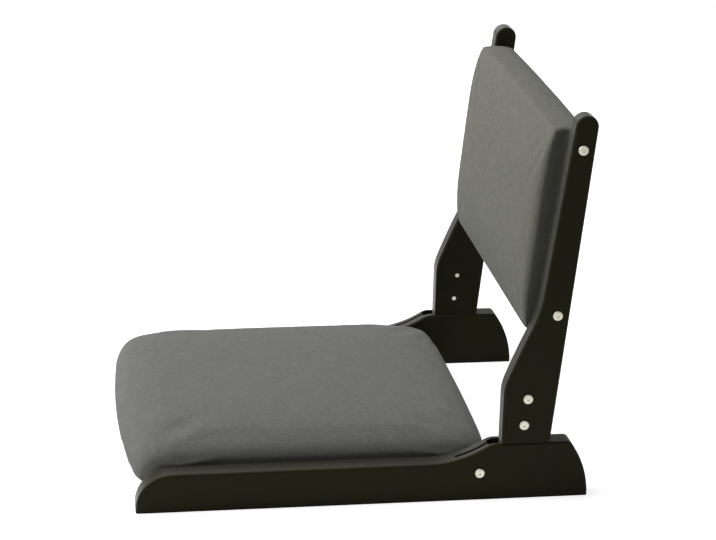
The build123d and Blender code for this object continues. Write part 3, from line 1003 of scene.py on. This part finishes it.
def firmness(height: float, low: float, band: float) -> float:
    """Return how firmly the stuffing holds a point.

    Args:
        height: the point's height.
        low: up to here it is held fast.
        band: how much higher it is free.

    Returns:
        From 0, free, to 1.
    """
    return 1.0 - min(max((height - low) / band, 0.0), 1.0)


def soften(piece: bpy.types.Object, rounds: int) -> None:
    """Relax a mesh a little.

    Args:
        piece: the piece.
        rounds: how many times.
    """
    step = piece.modifiers.new("relax", "SMOOTH")
    step.iterations = rounds
    step.factor = 0.5
    Stuffing.apply(piece)


def refine(piece: bpy.types.Object) -> None:
    """Add one level of subdivision."""
    step = piece.modifiers.new("fine", "SUBSURF")
    step.levels = 1
    step.render_levels = 1


# ---------------------------------------------------------------------------- upholstery
@dataclass
class SeatCushion:
    """Seat: foam on a board in a grey cover, between the two rails."""

    book: FinishBook
    front: float = SEAT_FRONT_Y
    rear: float = RAIL_REAR_Y - 101.6 * MM
    half_width: float = 189.7 * MM
    underside: float = 18.2 * MM
    belly_low: float = 26.2 * MM
    belly_high: float = 33.9 * MM
    roll: float = 33.0 * MM
    rise: float = 10.6 * MM
    waist: Waist = Waist(
        27.0 * MM, 1.45, edge=1.12, edge_slope=0.0, edge_flare=0.0, release=0.3, ends=12.0
    )
    front_bow: float = 13.0 * MM
    rear_bow: float = 4.0 * MM
    free_band: float = 10.0 * MM

    def shape(self) -> Pillow:
        """Return the cushion's form before it is filled."""
        edge = EdgeRoll(self.belly_high, self.roll, radians(80))
        return Pillow(
            half_x=self.half_width,
            half_y=(self.rear - self.front) / 2,
            corner=18.0,
            corner_top=7.5,
            base=self.underside,
            low_roll=self.belly_low - self.underside,
            side=edge,
            end=edge,
            end_fade=4.0,
            rise=self.rise,
            crown_x=3.2,
            crown_y=3.2,
            bow_low=self.front_bow,
            bow_high=self.rear_bow,
            waist=self.waist,
        )

    def held(self, point: Vector) -> float:
        """Hold the underside and the lower edge, and leave the top free."""
        return firmness(point.z, self.belly_low, self.free_band)

    def keep(self, point: Vector) -> Vector:
        """Keep a point between the rails and over the underside."""
        x = min(max(point.x, -self.half_width), self.half_width)
        return Vector((x, point.y, max(point.z, self.underside)))

    def build(self) -> bpy.types.Object:
        """Make the seat cushion."""
        middle = Vector((0.0, (self.front + self.rear) / 2, 0.0))
        points, faces = self.shape().mesh()
        points = [point + middle for point in points]
        piece = mesh_piece("seat_cushion", points, faces, Body.BASE, Slot.GREY_FABRIC)
        Stuffing(limit=2.0 * MM, bending=8.0).fill(piece, self.held, self.keep)
        soften(piece, 3)
        refine(piece)
        piece.data.materials.append(self.book.seat_cloth())
        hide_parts("seat_cover", "seat_foam")
        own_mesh(piece)
        return piece


@dataclass
class BackCushion:
    """Back pad: foam on a framed board in a grey cover, between the two posts."""

    book: FinishBook
    recline: float
    foot: Vector
    bottom: float = 119.45 * MM
    height: float = 225.5 * MM
    half_width: float = 192.7 * MM
    rear: float = 3.0 * MM
    rear_round: float = 2.0 * MM
    side_belly: float = 41.5 * MM
    side_roll: float = 8.5 * MM
    end_belly: float = 38.0 * MM
    end_roll: float = 3.5 * MM
    rise: float = 3.5 * MM
    waist: Waist = Waist(17.0 * MM, tuck=4.5 * MM)
    arch: float = 1.5 * MM
    top_bulge: float = 3.0 * MM
    free_depth: float = 4.0 * MM
    free_band: float = 8.0 * MM

    def frame(self) -> Matrix:
        """Return the back's own frame: X across, Y up the back, Z forward out of it."""
        up = Vector((0.0, sin(self.recline), cos(self.recline)))
        out = Vector((0.0, -cos(self.recline), sin(self.recline)))
        turn = Matrix((Vector((1.0, 0.0, 0.0)), up, out)).transposed().to_4x4()
        turn.translation = self.foot + up * (self.bottom + self.height / 2)
        return turn

    def shape(self) -> Pillow:
        """Return the pad's form before it is filled, in the back's own frame."""
        return Pillow(
            half_x=self.half_width,
            half_y=self.height / 2,
            corner=90.0,
            corner_top=40.0,
            base=self.rear,
            low_roll=self.rear_round,
            side=EdgeRoll(self.side_belly, self.side_roll, radians(82)),
            end=EdgeRoll(self.end_belly, self.end_roll, radians(68)),
            end_fade=5.0,
            rise=self.rise,
            crown_x=5.0,
            crown_y=4.0,
            bow_high=self.arch,
            top_bulge=self.top_bulge,
            waist=self.waist,
            cells=96,
        )

    def build(self) -> bpy.types.Object:
        """Make the back pad."""
        frame = self.frame()
        inverse = frame.inverted()

        def held(point: Vector) -> float:
            """Hold the frame's part of the pad and leave its front free."""
            return firmness((inverse @ point).z, self.side_belly - self.free_depth, self.free_band)

        def keep(point: Vector) -> Vector:
            """Keep a point between the posts and in front of the rear panel."""
            local = inverse @ point
            local.x = min(max(local.x, -self.half_width), self.half_width)
            local.z = max(local.z, self.rear)
            return frame @ local

        points, faces = self.shape().mesh()
        points = [frame @ point for point in points]
        piece = mesh_piece("back_cushion", points, faces, Body.BACKREST, Slot.GREY_FABRIC)
        Stuffing(limit=1.5 * MM, bending=4.0, voxel=3.0 * MM).fill(piece, held, keep)
        soften(piece, 2)
        refine(piece)
        piece.data.materials.append(self.book.shaded_back_cloth())
        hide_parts("back_cover", "back_foam")
        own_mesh(piece)
        return piece


@dataclass
class ClothPanel:
    """A thin sheet stretched flat, with slight puckers along its hem and a faint unevenness inside it."""

    name: str
    node: str
    body: Body
    slot: Slot
    material: bpy.types.Material
    frame: Matrix
    width: float
    length: float
    corner: float
    rests_on: tuple[str, ...]
    thickness: float = 0.6 * MM
    hem: float = 9.0 * MM
    pucker: float = 0.25 * MM
    pucker_pitch: float = 24.0 * MM
    uneven: float = 0.15 * MM
    uneven_pitch: float = 22.0
    calm_edge: float = 20.0 * MM
    cells: int = 96

    def surface(self, s: float, t: float, outer: bool) -> Vector:
        """Place a point of the sheet.

        Args:
            s: from -1 to 1 across.
            t: from -1 to 1 along.
            outer: whether the point is on the outer face.

        Returns:
            The point in the sheet's own frame, with Z out of the outer face.
        """
        reach = max(abs(s), abs(t))
        norm = (abs(s) ** self.corner + abs(t) ** self.corner) ** (1 / self.corner) if reach else 1.0
        x = s * reach / norm * self.width / 2
        y = t * reach / norm * self.length / 2
        from_side, from_end = self.width / 2 - abs(x), self.length / 2 - abs(y)
        from_edge = min(from_side, from_end)
        along = y if from_side < from_end else x
        fade = max(0.0, 1 - abs(from_edge - self.hem) / self.hem)
        lift = self.pucker * fade * (0.5 - 0.5 * cos(2 * pi * along / self.pucker_pitch))
        bumps = 0.5 + 0.5 * noise.noise(Vector((x * self.uneven_pitch, y * self.uneven_pitch, 3.0)))
        height = lift + self.uneven * bumps * min(1.0, from_edge / self.calm_edge)
        return Vector((x, y, height + (self.thickness if outer else 0.0)))

    def build(self) -> bpy.types.Object:
        """Make the sheet as a closed skin of its real thickness."""
        points: list[Vector] = []
        layers: list[Grid] = []
        for outer in (False, True):
            layers.append({})
            for i, j in product(range(self.cells + 1), repeat=2):
                layers[-1][i, j] = len(points)
                points.append(self.frame @ self.surface(unit(i, self.cells), unit(j, self.cells), outer))
        piece = mesh_piece(self.name, points, skin(self.cells, *layers), self.body, self.slot)
        piece.data.materials.append(self.material)
        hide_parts(self.node)
        list(self.rests_on)
        return piece


# ---------------------------------------------------------------------------- studio
@dataclass(frozen=True)
class Viewpoint:
    """The camera that took the photograph, solved from the chair's straight edges and bolt heads."""

    azimuth: float = radians(81.13086623)
    elevation: float = radians(18.97212249)
    roll: float = radians(1.34759494)
    place: tuple[float, float, float] = (2.430415, -0.353753, 1.039574)
    focal_pixels: float = 2272.5142
    sensor: float = 36.0

    def build(self) -> bpy.types.Object:
        """Make the camera and look through it."""
        back = Vector((
            sin(self.azimuth) * cos(self.elevation),
            -cos(self.azimuth) * cos(self.elevation),
            sin(self.elevation),
        ))
        level = (-back).cross(Vector((0.0, 0.0, 1.0))).normalized()
        upright = level.cross(-back)
        right = level * cos(self.roll) + upright * sin(self.roll)
        up = upright * cos(self.roll) - level * sin(self.roll)
        lens = bpy.data.cameras.new("photo_camera")
        lens.sensor_width = self.sensor
        lens.lens = self.focal_pixels * self.sensor / PHOTO_WIDTH
        lens.clip_start = 0.1
        lens.clip_end = 100.0
        camera = bpy.data.objects.new("photo_camera", lens)
        pose = Matrix((right, up, back)).transposed().to_4x4()
        pose.translation = Vector(self.place)
        camera.matrix_world = pose
        bpy.context.scene.collection.objects.link(camera)
        bpy.context.scene.camera = camera
        return camera


@dataclass(frozen=True)
class Lamp:
    """A soft square lamp aimed at the chair."""

    name: str
    place: tuple[float, float, float]
    size: float
    power: float
    aim: tuple[float, float, float] = (0.0, 0.0, 0.15)

    def build(self) -> bpy.types.Object:
        """Make the lamp."""
        light = bpy.data.lights.new(self.name, "AREA")
        light.size = self.size
        light.energy = self.power
        lamp = bpy.data.objects.new(self.name, light)
        lamp.location = Vector(self.place)
        lamp.rotation_euler = (Vector(self.aim) - lamp.location).to_track_quat("-Z", "Y").to_euler()
        bpy.context.scene.collection.objects.link(lamp)
        return lamp


@dataclass(frozen=True)
class Studio:
    """White surroundings, a pale floor and soft lamps."""

    ambient: float = 0.13
    mirrored: float = 0.50
    floor_size: float = 4.0
    floor_colour: Colour = (0.90, 0.90, 0.90)
    floor_glow: float = 0.72
    floor_mirrored: float = 0.20

    def world(self) -> None:
        """Make surroundings that look white, and that light the chair and its gloss more weakly."""
        world = bpy.data.worlds.new("studio")
        world.use_nodes = True
        bpy.context.scene.world = world
        nodes = NodeTree(world.node_tree)
        rays = nodes.node("ShaderNodeLightPath").outputs
        light = nodes.span(rays["Is Glossy Ray"], 0.0, 1.0, self.ambient, self.mirrored)
        sky = world.node_tree.nodes["Background"]
        nodes.feed(sky.inputs["Color"], WHITE)
        nodes.feed(sky.inputs["Strength"], nodes.span(rays["Is Camera Ray"], 0.0, 1.0, light, 1.0))

    def floor(self) -> bpy.types.Object:
        """Make the floor, which keeps the chair's shadow."""
        half = self.floor_size / 2
        corners = [(-half, -half, 0.0), (half, -half, 0.0), (half, half, 0.0), (-half, half, 0.0)]
        mesh = bpy.data.meshes.new("studio_floor")
        mesh.from_pydata(corners, [], [(0, 1, 2, 3)])
        piece = bpy.data.objects.new("studio_floor", mesh)
        bpy.context.scene.collection.objects.link(piece)
        mix = Recipe("studio_floor")
        rays = mix.node("ShaderNodeLightPath").outputs
        seen = mix.maths("MULTIPLY", rays["Is Camera Ray"], self.floor_glow)
        mirrored = mix.maths("MULTIPLY", rays["Is Glossy Ray"], self.floor_mirrored)
        mesh.materials.append(mix.shade({
            "Base Color": (*self.floor_colour, 1.0),
            "Roughness": 1.0,
            "Specular IOR Level": 0.0,
            "Emission Color": WHITE,
            "Emission Strength": mix.total([seen, mirrored]),
        }))
        return piece

    def build(self) -> None:
        """Make the whole studio."""
        self.world()
        self.floor()
        lamps = (
            Lamp("key", (-0.45, -2.15, 2.0), 1.5, 44.0),
            Lamp("top", (-0.3, -0.7, 2.8), 1.8, 36.5),
            Lamp("left_panel", (-2.2, -0.15, 1.1), 1.4, 12.0),
        )
        for lamp in lamps:
            lamp.build()
        bpy.context.scene.view_settings.view_transform = "Standard"


# ---------------------------------------------------------------------------- the chair
@dataclass
class FloorChair:
    """The whole chair: rigid CAD pieces with their finishes, and the upholstery made here."""

    frame: dict
    recline: float = radians(5.6)
    foot_back: tuple[float, float, float] = (0.0, 0.20765, 0.0645)
    panel_inset: float = 5.0 * MM

    def dress_rigid(self, book: FinishBook) -> Iterator[str]:
        """Give each rigid CAD piece its finish.

        Args:
            book: the finishes.

        Returns:
            The names of the pieces.
        """
        slots = {part["node"]: Slot(part["material_slot"]) for part in self.frame["record"]["subparts"]}
        soft = (Slot.FOAM, Slot.GREY_FABRIC, Slot.BLACK_CLOTH)
        for name, piece in self.frame["nodes"].items():
            if slots[name] in soft:
                continue
            piece.data.materials.clear()
            piece.data.materials.append(book.for_node(name, slots[name]))
            yield name

    def panels(self, book: FinishBook, pad: BackCushion) -> list[ClothPanel]:
        """Return the two thin sheets: the back's rear panel and the seat's dust cover.

        Args:
            book: the finishes.
            pad: the back pad that the rear panel closes.

        Returns:
            The sheets, not yet built.
        """
        low, high = (Vector(corner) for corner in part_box("seat_dust_cover"))
        under = Matrix.Rotation(pi, 4, "X")
        under.translation = Vector(((low.x + high.x) / 2, (low.y + high.y) / 2, high.z))
        behind = pad.frame() @ Matrix.Rotation(pi, 4, "Y")
        behind = Matrix.Translation(pad.frame().col[2].to_3d() * pad.rear) @ behind
        rear_panel = ClothPanel(
            "back_rear_panel",
            "back_rear_cover",
            Body.BACKREST,
            Slot.GREY_FABRIC,
            book.shaded_back_cloth(),
            behind,
            width=2 * (pad.half_width - self.panel_inset),
            length=pad.height - 2 * self.panel_inset,
            corner=40.0,
            rests_on=("back_stile_left", "back_stile_right"),
        )
        dust_cover = ClothPanel(
            "seat_dust_panel",
            "seat_dust_cover",
            Body.BASE,
            Slot.BLACK_CLOTH,
            book.lining(),
            under,
            width=high.x - low.x,
            length=high.y - low.y,
            corner=18.0,
            rests_on=("seat_board",),
        )
        return [rear_panel, dust_cover]

    def build(self) -> None:
        """Dress the rigid pieces and make the soft ones."""
        book = FinishBook(self.recline)
        for name in self.dress_rigid(book):
            LOG.info("dressed %s", name)
        seat = SeatCushion(book)
        pad = BackCushion(book, self.recline, Vector(self.foot_back))
        made = [seat.build(), pad.build()]
        made += [panel.build() for panel in self.panels(book, pad)]
        for piece in made:
            LOG.info("made %s, %d faces", piece.name, len(piece.data.polygons))


def main() -> None:
    """Build the chair and its studio."""
    logging.basicConfig(level=logging.INFO, format="%(message)s")
    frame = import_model()
    Viewpoint().build()
    Studio().build()
    FloorChair(frame).build()


if __name__ == "__main__":
    main()
